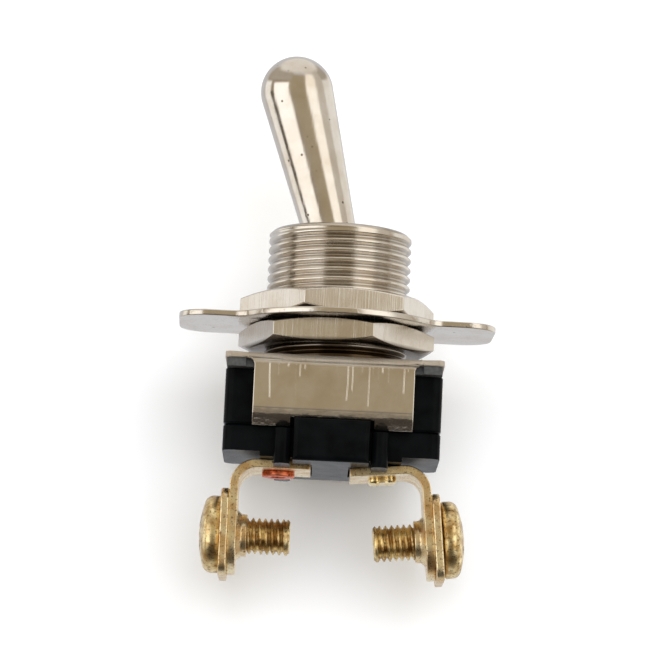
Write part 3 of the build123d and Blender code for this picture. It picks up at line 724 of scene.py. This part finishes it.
# %% [markdown]
# ## Turned pieces
# A lathe makes the rest of the bushing, the lever and the screws: a profile of radius and height,
# turned about an axis. Blender's Screw modifier turns a profile too. Here the rows of the profile
# become rings of vertices with the thread's own columns, so that the two weld into one closed
# shell.

# %% Turning on the lathe
def arc(x, y, radius, start_deg, end_deg, count):
    """Points on a circle about (x, y), from one angle to another."""
    angles = np.radians(np.linspace(start_deg, end_deg, count))
    return [(x + radius * math.cos(a), y + radius * math.sin(a)) for a in angles]


def skinned(name, rows, columns, finish):
    """A mesh over rows of points in mm, each a closed ring or a single point."""
    shell = bmesh.new()
    rings = [[shell.verts.new(Vector(spot) * MM) for spot in row] for row in rows]
    for near, far in zip(rings, rings[1:]):
        for i in range(columns):
            j = (i + 1) % columns
            loop = [near[i % len(near)], near[j % len(near)], far[j % len(far)], far[i % len(far)]]
            shell.faces.new(list(dict.fromkeys(loop)))
    mesh = bpy.data.meshes.new(name)
    shell.to_mesh(mesh)
    shell.free()
    return new_piece(name, mesh, finish)


def turned(name, profile, columns, finish):
    """A mesh turned about Z from (radius, height) points in mm. Radius 0 closes an end."""
    angles = np.linspace(0, math.tau, columns, endpoint=False)
    rows = [[(r * math.cos(a), r * math.sin(a), z) for a in (angles if r else angles[:1])]
            for r, z in profile]
    return skinned(name, rows, columns, finish)


# %% Welding pieces into one
def weld_together(main, *others):
    """Join pieces into the first one, close the seams and turn all faces outward."""
    shell = bmesh.new()
    finishes = []
    for piece in (main, *others):
        known = set(shell.faces)
        shell.from_mesh(piece.data)
        finish = piece.data.materials[-1]
        finishes += [finish] if finish not in finishes else []
        for face in set(shell.faces) - known:
            face.material_index = finishes.index(finish)
    bmesh.ops.remove_doubles(shell, verts=shell.verts, dist=WELD)
    bmesh.ops.recalc_face_normals(shell, faces=shell.faces)
    open_edges = sum(1 for e in shell.edges if len(e.link_faces) != 2)
    shell.to_mesh(main.data)
    shell.free()
    main.data.shade_smooth()
    main.data.materials.clear()
    for finish in finishes:
        main.data.materials.append(finish)
    for piece in others:
        bpy.data.objects.remove(piece)
    print(main.name, "faces:", len(main.data.polygons), "open edges:", open_edges)
    return main


# %% [markdown]
# ## Indicator plate
# The plate is stamped: a disc with two tabs, blended where they meet. Its outline is drawn from
# arcs, with points so close that the long rim shows no facets, and rows of that outline at small
# offsets round the edge that catches the light.

# %% The plate's outline
PLATE_R = 9.1
TAB_REACH = 13.1
TAB_HALF_W = 4.7
TAB_CORNER = 2.5
TAB_BLEND = 2.0


def plate_outline():
    """The plate's outline, from one quarter mirrored to four."""
    blend_y = TAB_HALF_W + TAB_BLEND
    blend_x = math.sqrt((PLATE_R + TAB_BLEND) ** 2 - blend_y ** 2)
    meet_deg = math.degrees(math.atan2(blend_y, blend_x))
    quarter = [(TAB_REACH, t * (TAB_HALF_W - TAB_CORNER)) for t in np.linspace(0, 1, 6)]
    quarter += arc(TAB_REACH - TAB_CORNER, TAB_HALF_W - TAB_CORNER, TAB_CORNER, 0, 90, 20)[1:]
    quarter += arc(blend_x, blend_y, TAB_BLEND, 270, 180 + meet_deg, 14)
    quarter += arc(0, 0, PLATE_R, meet_deg, 90, 24)[1:]
    half = quarter + [(-x, y) for x, y in reversed(quarter[:-1])]
    return np.array(half + [(-x, -y) for x, y in half[1:-1]])


outline = plate_outline()
print("outline points:", len(outline))

# %% Indicator plate
PLATE_T = 0.5
PLATE_Z = 3.1
PLATE_HOLE_R = 6.053
PLATE_TURN = math.radians(1.5)
PLATE_EDGE = 0.1
PLATE_EDGE_ROWS = 5

ahead_of = np.roll(outline, -1, axis=0) - np.roll(outline, 1, axis=0)
outward = np.stack([ahead_of[:, 1], -ahead_of[:, 0]], axis=1)
outward /= np.linalg.norm(outward, axis=1, keepdims=True)
hole = outline / np.linalg.norm(outline, axis=1, keepdims=True) * PLATE_HOLE_R
section = [(1 - math.sin(a), 1 - math.cos(a)) for a in np.linspace(0, math.pi / 2, PLATE_EDGE_ROWS)]
edge_rows = [(-inset * PLATE_EDGE, drop * PLATE_EDGE) for inset, drop in section]
rows = [[(x, y, PLATE_Z) for x, y in hole]]
rows += [[(x, y, PLATE_Z + lift) for x, y in outline + outward * shift] for shift, lift in edge_rows]
rows += [[(x, y, PLATE_Z + PLATE_T - lift) for x, y in outline + outward * shift]
         for shift, lift in reversed(edge_rows)]
rows += [[(x, y, PLATE_Z + PLATE_T) for x, y in hole], rows[0]]
plate = weld_together(skinned("plate_stamped", rows, len(outline), nickel_stamped))
plate.data.transform(Matrix.Rotation(PLATE_TURN, 4, "Z"))
normals = plate.modifiers.new("normals", "WEIGHTED_NORMAL")
normals.keep_sharp = False
plain_mesh(plate)
stand_for(plate, "indicator_plate")

# %% [markdown]
# ## Bushing
# The bushing's thread runs its whole length. Above it are a chamfer, a rim and a conical mouth
# that leads to the ball seat. Below are the spigot and the staked edge that hold the bracket. The
# thread comes from the tree and the rest from the lathe, welded into one closed piece.

# %% Bushing
BUSHING_R = 5.953
THREAD_PITCH = 0.794
THREAD_DEPTH = 0.28
THREAD_TOP = 10.85
BUSHING_TOP = 11.2
MOUTH_R = 4.1
THROAT_R = 3.05
PIVOT_Z = 8.0
SEAT_R = 3.72
BORE_R = 4.5
SPIGOT_R = 5.3
STAKE_R = 5.75
STAKE_TOP = -0.52
BUSHING_BOTTOM = -0.9
SEAT_BOTTOM = 6.2
BORE_TOP = 5.2
CHAMFER = 0.3
CHAMFER_END = 0.06
RIM_EASE = 0.42
LIP = 0.1
LIP_IN = 0.02
LIP_DROP = 0.05
THREAD_RUN_OUT = 0.5
BUSHING_COLUMNS = 160
BUSHING_ROWS = 180

bushing = threaded_bar("bushing_threaded", nickel_thread, BUSHING_COLUMNS, BUSHING_ROWS,
                       outer_radius=BUSHING_R, pitch=THREAD_PITCH, depth=THREAD_DEPTH,
                       length=THREAD_TOP, run_out=THREAD_RUN_OUT)
throat_angle = math.degrees(math.acos(THROAT_R / SEAT_R))
profile = [(BUSHING_R, THREAD_TOP), (BUSHING_R - CHAMFER, BUSHING_TOP - CHAMFER_END)]
profile += [(BUSHING_R - RIM_EASE, BUSHING_TOP), (MOUTH_R + LIP, BUSHING_TOP)]
profile += [(MOUTH_R - LIP_IN, BUSHING_TOP - LIP_DROP)]
profile += arc(0, PIVOT_Z, SEAT_R, throat_angle, 0, 8)
profile += [(SEAT_R, SEAT_BOTTOM), (BORE_R, BORE_TOP)]
profile += [(BORE_R, BUSHING_BOTTOM), (STAKE_R, BUSHING_BOTTOM)]
profile += [(STAKE_R, STAKE_TOP), (SPIGOT_R, STAKE_TOP), (SPIGOT_R, 0), (BUSHING_R, 0)]
weld_together(bushing, turned("bushing_inside", profile, BUSHING_COLUMNS, nickel_thread))
stand_for(bushing, "bushing")

# %% [markdown]
# ## Lever
# The bat lever is turned from bar: a round tip, a long taper to the neck, the pivot ball and a
# hollow stem. A mirror shows every facet, so it isn't a copy of the solid's mesh: its profile is
# turned with more columns, upright about its pivot, and then leaned over as it stands at rest.

# %% Lever
LEVER_TILT = math.radians(-15.6)
LEVER_REACH = 15.75
TIP_R = 3.05
NECK_R = 2.22
BALL_R = 3.6
STEM_R = 1.75
STEM_END = -9.0
STEM_BORE_R = 1.15
STEM_BORE_TOP = -1.6
LEVER_COLUMNS = 128

neck_angle = math.degrees(math.acos(NECK_R / BALL_R))
stem_angle = -math.degrees(math.acos(STEM_R / BALL_R))
taper = [(NECK_R + (TIP_R - NECK_R) * t, BALL_R + (LEVER_REACH - BALL_R) * t)
         for t in np.linspace(0, 1, 24)]
profile = [(0, STEM_BORE_TOP), (STEM_BORE_R, STEM_BORE_TOP)]
profile += [(STEM_BORE_R, STEM_END), (STEM_R, STEM_END)]
profile += arc(0, 0, BALL_R, stem_angle, neck_angle, 16) + taper
profile += arc(0, LEVER_REACH, TIP_R, 0, 90, 28)[1:-1] + [(0, LEVER_REACH + TIP_R)]
lever = weld_together(turned("bat_lever", profile, LEVER_COLUMNS, nickel_lever))
lever.data.transform(Matrix.Translation((0, 0, PIVOT_Z * MM)) @ Matrix.Rotation(LEVER_TILT, 4, "Y"))
stand_for(lever, "lever")

# %% [markdown]
# ## Terminal screws
# Each screw has a head with a round shoulder, a low dome and a cross recess, and a thread that
# starts under the head. A cross is hard to draw into a round dome, so a punch cuts it, as in the
# factory. The mounts in the record give each screw's place and direction.

# %% The punch for the cross recess
HEAD_RIM = 1.15
HEAD_DOME = 0.6
CROSS_L = 3.4
CROSS_W = 0.75
CROSS_DEPTH = 0.9
CROSS_TURN = 45


def cross_punch():
    """The cross-shaped punch that cuts the recess."""
    arm, half = CROSS_L / 2 * MM, CROSS_W / 2 * MM
    quarter = [Vector((arm, -half, 0)), Vector((arm, half, 0)), Vector((half, half, 0))]
    outline = [Matrix.Rotation(math.radians(CROSS_TURN + 90 * k), 3, "Z") @ spot
               for k in range(4) for spot in quarter]
    shell = bmesh.new()
    floor = shell.faces.new([shell.verts.new(spot) for spot in outline])
    risen = bmesh.ops.extrude_face_region(shell, geom=[floor])["geom"]
    tops = [v for v in risen if isinstance(v, bmesh.types.BMVert)]
    bmesh.ops.translate(shell, verts=tops, vec=(0, 0, 2 * CROSS_DEPTH * MM))
    bmesh.ops.recalc_face_normals(shell, faces=shell.faces)
    mesh = bpy.data.meshes.new("cross_punch")
    shell.to_mesh(mesh)
    shell.free()
    mesh.transform(Matrix.Translation((0, 0, (HEAD_RIM + HEAD_DOME - CROSS_DEPTH) * MM)))
    return new_piece("cross_punch", mesh, zinc_yellow)


# %% Screws
HEAD_R = 3.2
HEAD_SHOULDER = 0.8
HEAD_EDGE = 0.12
SCREW_R = 1.5
SCREW_PITCH = 0.5
SCREW_DEPTH = 0.3
SCREW_L = 5.75
SCREW_TIP = 0.2
CLAMP_T = 0.65
SCREW_GAPS = {"left": 0.0, "right": 0.15}
SCREW_RUN_OUT = 0.25
SCREW_COLUMNS = 72
SCREW_ROWS = 150


def make_screw(hand):
    """A terminal screw, put in place on its side."""
    thread_l = SCREW_L - SCREW_TIP
    screw = threaded_bar("screw_" + hand + "_threaded", zinc_thread, SCREW_COLUMNS, SCREW_ROWS,
                         outer_radius=SCREW_R, pitch=SCREW_PITCH, depth=SCREW_DEPTH,
                         length=thread_l, run_out=SCREW_RUN_OUT)
    screw.data.transform(Matrix.Translation((0, 0, -thread_l * MM)))
    dome_r = (HEAD_R ** 2 + HEAD_DOME ** 2) / (2 * HEAD_DOME)
    dome_z = HEAD_RIM + HEAD_DOME - dome_r
    shoulder_r = HEAD_R - HEAD_SHOULDER
    rise = math.sqrt((dome_r - HEAD_SHOULDER) ** 2 - shoulder_r ** 2)
    meet_deg = math.degrees(math.atan2(rise, shoulder_r))
    head = [(SCREW_R, 0), (HEAD_R - HEAD_EDGE, 0), (HEAD_R, HEAD_EDGE)]
    head += arc(shoulder_r, dome_z + rise, HEAD_SHOULDER, 0, meet_deg, 10)
    head += arc(0, dome_z, dome_r, meet_deg, 90, 10)[1:-1] + [(0, HEAD_RIM + HEAD_DOME)]
    tip = [(0, -SCREW_L), (SCREW_R - SCREW_TIP, -SCREW_L), (SCREW_R, -thread_l)]
    weld_together(screw, turned("head", head, SCREW_COLUMNS, zinc_yellow),
                  turned("tip", tip, SCREW_COLUMNS, zinc_thread))
    punch = cross_punch()
    cut = screw.modifiers.new("recess", "BOOLEAN")
    cut.operation = "DIFFERENCE"
    cut.solver = "MANIFOLD"
    cut.object = punch
    plain_mesh(screw)
    bpy.data.objects.remove(punch)
    mount = mounts["terminal_" + hand]
    axis = Vector(mount["axis"])
    seat = Vector(mount["pos_m"]) + axis * (CLAMP_T + SCREW_GAPS[hand]) * MM
    screw.data.transform(Matrix.Translation(seat) @ axis.to_track_quat("Z", "Y").to_matrix().to_4x4())
    stand_for(screw, "screw_" + hand)


for hand in ("left", "right"):
    make_screw(hand)

# %% [markdown]
# ## Inside
# The mechanism is sealed in the case. Most of it only gets its finish here: a steel pin, a nylon
# plunger, a brass rocker and cradle, and a silver contact. In the real switch the spring shortens
# when the plunger slides up into the lever's stem. Here it gets a piece and a mesh of its own, though
# nothing here shortens it.

# %% Finishes of the inner pieces
INNER = {"pivot_pin": spring_steel, "plunger": nylon, "rocker": brass_strip,
         "cradle": brass_strip, "moving_contact": contact_silver}
for node, finish in INNER.items():
    mesh = frame["nodes"][node].data
    mesh.materials.clear()
    mesh.materials.append(finish)
print("inner pieces:", len(INNER))

coil = new_piece("coil_spring", frame["nodes"]["plunger_spring"].data.copy(), spring_steel)
stand_for(coil, "plunger_spring")
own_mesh(coil)
